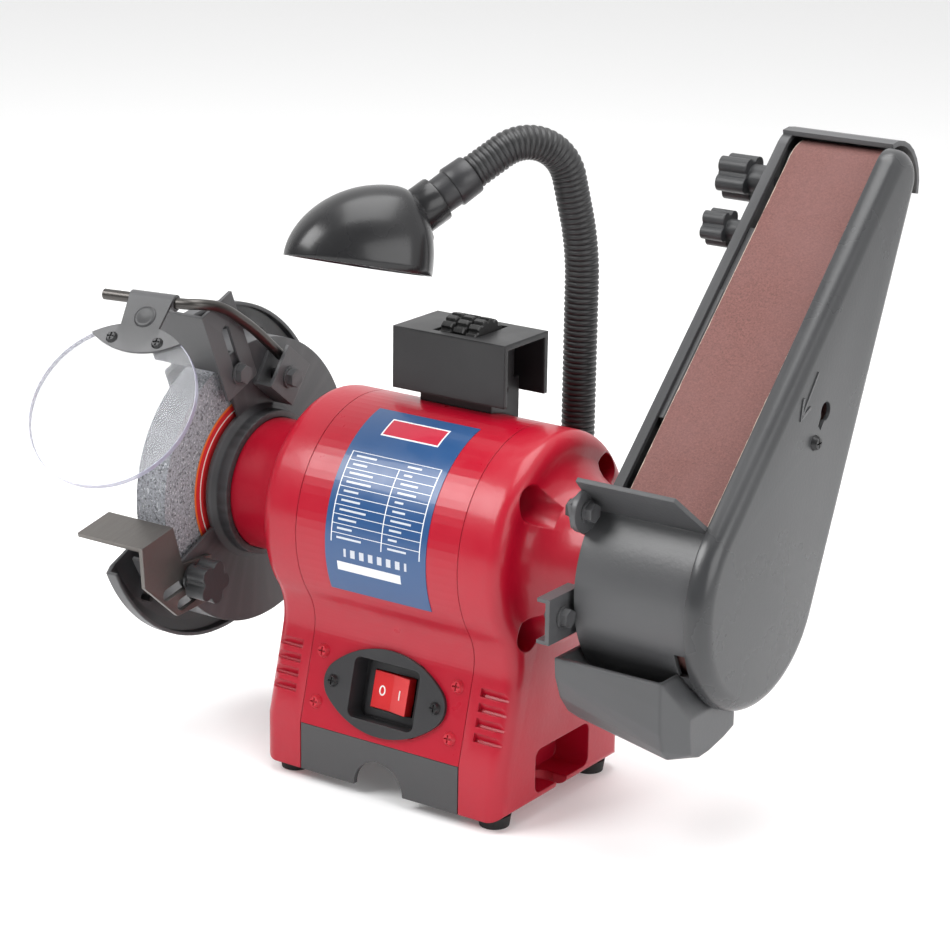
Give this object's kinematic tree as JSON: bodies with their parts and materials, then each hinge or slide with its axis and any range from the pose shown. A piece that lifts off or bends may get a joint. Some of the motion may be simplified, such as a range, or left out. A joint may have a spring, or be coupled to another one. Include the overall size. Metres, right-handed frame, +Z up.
{
  "type": "bench grinder with belt sander",
  "caption": "Bench grinder with a stone wheel on one end of the motor and a tilting belt sander arm on the other, with eye shield, gooseneck lamp and wheel dresser.",
  "frame": {"origin": "centre between the two bench slots, on the underside of the cast end feet", "axes": "+X along the spindle from the stone wheel to the belt arm, -Y towards the operator and the switch, +Z up"},
  "size_m": [0.3886, 0.3093, 0.3527],
  "materials": {
    "red_paint": "gloss",
    "red_casting": "gloss",
    "drum_metal": "satin",
    "dark_plastic": "satin",
    "rubber": "matt",
    "black_steel": "satin",
    "label": "satin",
    "red_screws": "gloss",
    "red_plastic": "gloss",
    "steel": "satin",
    "core_steel": "satin",
    "copper": "satin",
    "white_plastic": "satin",
    "stone": "rough",
    "washer_paper": "matt",
    "bent_rod": "satin",
    "clear_plastic": "clear",
    "worn_steel": "satin",
    "abrasive": "rough",
    "gloss_black": "gloss",
    "glass": "frosted",
    "tooth_steel": "matt"
  },
  "bodies": {
    "housing": {"motor_wrap": "red_paint", "left_end_casting": "red_casting", "right_end_casting": "red_casting", "base_panel": "dark_plastic", "rubber_feet": "rubber", "foot_screws": "black_steel", "data_label": "label", "panel_screws": "red_screws", "switch_plate": "dark_plastic", "switch_body": "dark_plastic", "switch_screws": "black_steel", "tie_bolts": "steel", "stator": "core_steel", "windings": "copper", "capacitor": "white_plastic", "bearings": "steel", "cable_gland": "dark_plastic", "inner_guard": "black_steel", "outer_guard": "black_steel", "guard_screws": "black_steel", "guard_bolts": "black_steel", "shield_bracket": "black_steel", "lamp_mount": "black_steel", "dresser_stand": "black_steel"},
    "switch_rocker": {"rocker": "red_plastic"},
    "spindle_group": {"rotor": "core_steel", "spindle": "steel", "wheel_flanges": "steel", "grinding_wheel": "stone", "wheel_labels": "washer_paper", "wheel_nut": "steel", "drive_drum": "drum_metal", "drum_nut": "steel"},
    "arrestor": {"spark_arrestor": "black_steel"},
    "rod": {"shield_rod": "bent_rod"},
    "shield": {"shield_clip": "black_steel", "eye_shield": "clear_plastic", "shield_screws": "black_steel"},
    "rest": {"tool_rest": "worn_steel"},
    "rest_clamp": {"rest_knob": "dark_plastic"},
    "arm": {"arm_frame": "black_steel", "arm_cover": "black_steel", "cover_screw": "black_steel", "platen": "steel", "tension_spring": "steel", "sanding_belt": "abrasive", "belt_guard": "black_steel", "tray_bracket": "black_steel", "arm_bolts": "black_steel", "dust_tray": "black_steel"},
    "yoke": {"idler_yoke": "steel"},
    "idler": {"idler_drum": "white_plastic"},
    "tension_grip": {"tension_knob": "dark_plastic"},
    "tracking_grip": {"tracking_knob": "dark_plastic"},
    "lamp_stalk": {"gooseneck": "black_steel", "lamp_collar": "gloss_black"},
    "lamp_head": {"lamp_shade": "gloss_black", "bulb": "glass"},
    "dresser": {"dresser_channel": "black_steel"},
    "dresser_teeth": {"star_wheels": "tooth_steel"}
  },
  "joints": [
    {"name": "switch_rock", "type": "hinge", "parent": "housing", "child": "switch_rocker", "pos_m": [0, -0.04232, 0.05123], "axis": [0, 0.2521, 0.9677], "range_deg": [0, 16]},
    {"name": "spindle_spin", "type": "hinge", "parent": "housing", "child": "spindle_group", "pos_m": [0, 0, 0.135], "axis": [1, 0, 0], "continuous": true},
    {"name": "arrestor_slide", "type": "slide", "parent": "housing", "child": "arrestor", "axis": [0, -0.3907, 0.9205], "range_m": [-0.001, 0.0015]},
    {"name": "rod_swing", "type": "hinge", "parent": "housing", "child": "rod", "pos_m": [0, 0.012, 0.194], "axis": [1, 0, 0], "range_deg": [-10, 1]},
    {"name": "shield_swing", "type": "hinge", "parent": "rod", "child": "shield", "pos_m": [-0.15, -0.0605, 0.2465], "axis": [0.9848, 0.1736, 0], "range_deg": [-50, 10]},
    {"name": "rest_slide", "type": "slide", "parent": "housing", "child": "rest", "axis": [0, -0.9781, -0.2079], "range_m": [-0.001, 0.008]},
    {"name": "rest_knob_turn", "type": "hinge", "parent": "housing", "child": "rest_clamp", "pos_m": [-0.1265, -0.0623, 0.09493], "axis": [1, 0, 0], "continuous": true},
    {"name": "arm_tilt", "type": "hinge", "parent": "housing", "child": "arm", "pos_m": [0, 0, 0.135], "axis": [1, 0, 0], "range_deg": [-45, 38]},
    {"name": "tension_slide", "type": "slide", "parent": "arm", "child": "yoke", "axis": [0, 0.6225, 0.7826], "range_m": [-0.008, 0], "deforming": ["tension_spring"]},
    {"name": "idler_spin", "type": "hinge", "parent": "yoke", "child": "idler", "pos_m": [0, 0.1438, 0.31578], "axis": [1, 0, 0], "continuous": true},
    {"name": "tension_knob_turn", "type": "hinge", "parent": "arm", "child": "tension_grip", "pos_m": [0, 0.1274, 0.31605], "axis": [1, 0, 0], "continuous": true},
    {"name": "tracking_knob_turn", "type": "hinge", "parent": "arm", "child": "tracking_grip", "pos_m": [0, 0.09857, 0.29426], "axis": [1, 0, 0], "continuous": true},
    {"name": "lamp_swivel", "type": "hinge", "parent": "housing", "child": "lamp_stalk", "pos_m": [0.036, 0.0734, 0.15], "axis": [0, 0, 1], "range_deg": [-40, 40]},
    {"name": "shade_turn", "type": "hinge", "parent": "lamp_stalk", "child": "lamp_head", "pos_m": [-0.01645, -0.00737, 0.30272], "axis": [-0.4619, -0.7112, -0.5299], "range_deg": [-45, 45]},
    {"name": "dresser_lift", "type": "slide", "parent": "housing", "child": "dresser", "axis": [0, 0, 1], "range_m": [0, 0.02]},
    {"name": "dresser_spin", "type": "hinge", "parent": "dresser", "child": "dresser_teeth", "pos_m": [0, 0.021, 0.2305], "axis": [1, 0, 0], "continuous": true}
  ],
  "couplings": [
    {"joint": "idler_spin", "follows": "spindle_spin", "ratio": 2.5}
  ]
}
